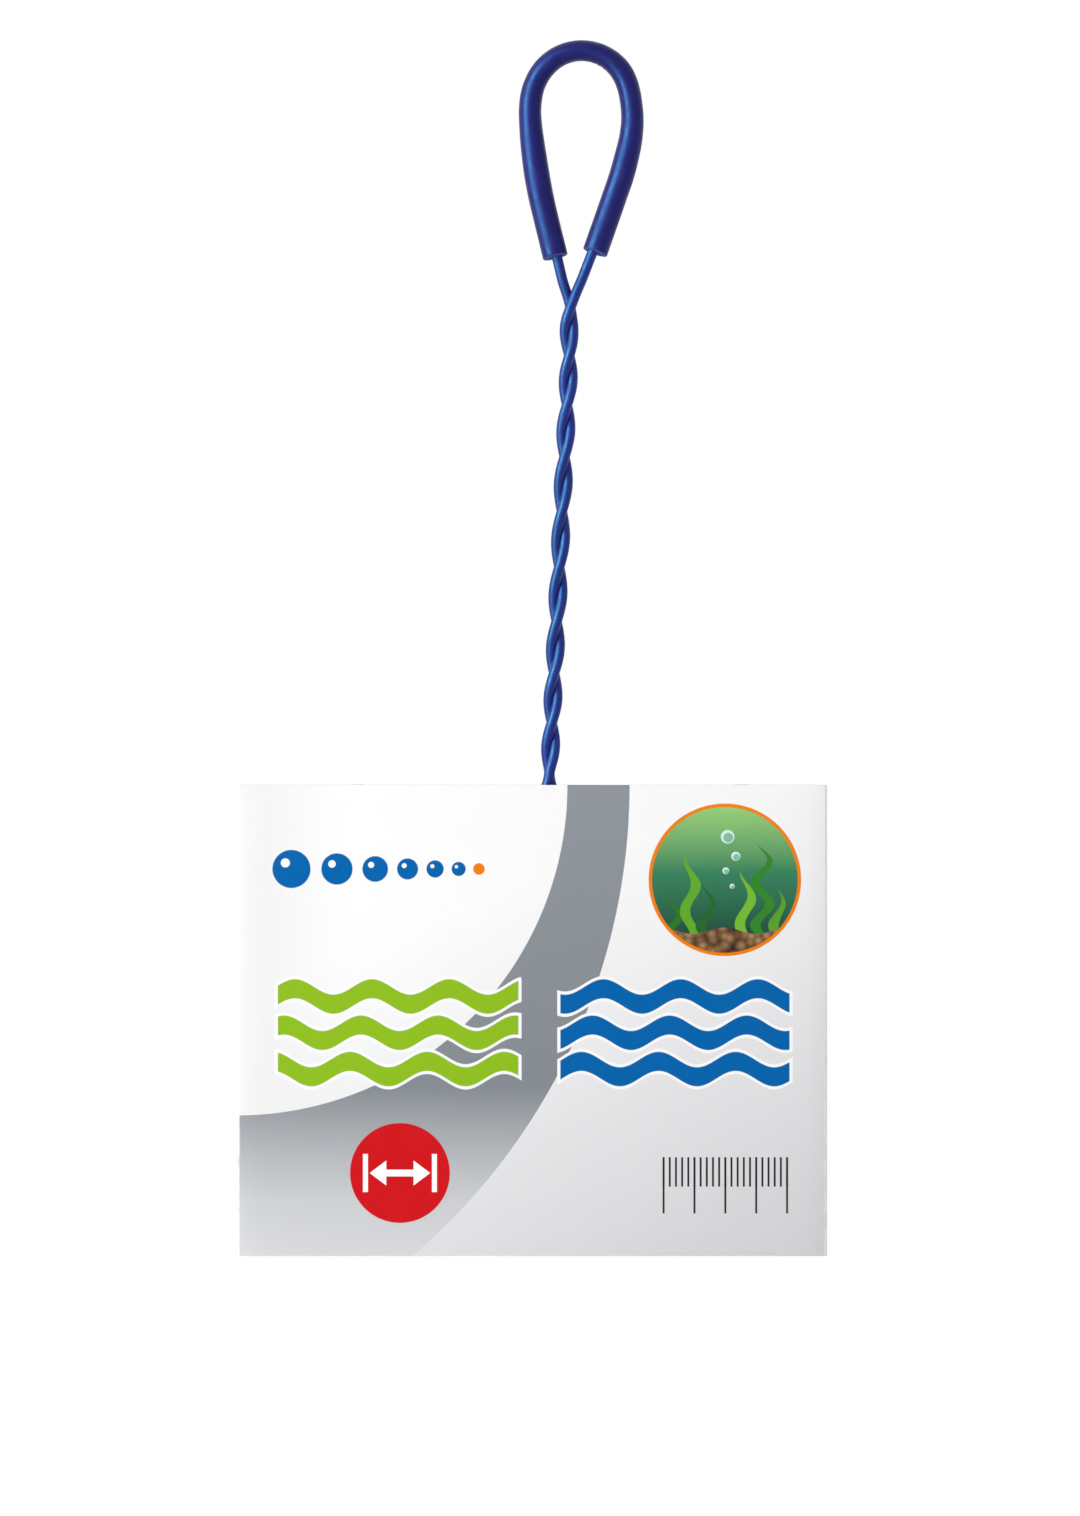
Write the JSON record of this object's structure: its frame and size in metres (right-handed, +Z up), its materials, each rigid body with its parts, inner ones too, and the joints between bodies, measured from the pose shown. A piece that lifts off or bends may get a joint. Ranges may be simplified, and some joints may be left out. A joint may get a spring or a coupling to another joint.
{
  "type": "aquarium fish net",
  "caption": "Aquarium hand net with a twisted coated-wire handle, a soft grip loop and a fine mesh bag on a bound wire hoop, its head packed in a folded card sleeve that slides off.",
  "frame": {"origin": "hang point: the inner crown of the grip loop on the handle's axis, where a peg carries the net", "axes": "+Z up the handle from the net head to the grip loop, -Y out of the card's printed front towards the viewer, +X to the viewer's right"},
  "size_m": [0.13, 0.0102, 0.2684],
  "materials": {
    "wire_core": "drawn galvanised wire",
    "wire_coating": "glossy blue vinyl dip coat",
    "grip_vinyl": "soft satin blue vinyl tube",
    "binding_tape": "woven white tape",
    "sewing_thread": "white polyester thread",
    "net_mesh": "fine white knitted mesh",
    "printed_card": "coated card with a satin print",
    "glue_film": "dried glue film"
  },
  "bodies": {
    "net": {"frame_wire": "wire_core", "left_strand_coating": "wire_coating", "right_strand_coating": "wire_coating", "hoop_coating": "wire_coating", "grip_wire_coating": "wire_coating", "grip_tube": "grip_vinyl", "rim_binding": "binding_tape", "binding_stitching": "sewing_thread", "net_bag": "net_mesh", "left_bag_seam": "binding_tape", "right_bag_seam": "binding_tape"},
    "sleeve": {"card_sleeve": "printed_card", "seam_glue": "glue_film"}
  },
  "joints": [
    {"name": "sleeve_slide", "type": "slide", "parent": "net", "child": "sleeve", "axis": [0, 0, -1], "range_m": [0, 0.11]}
  ]
}
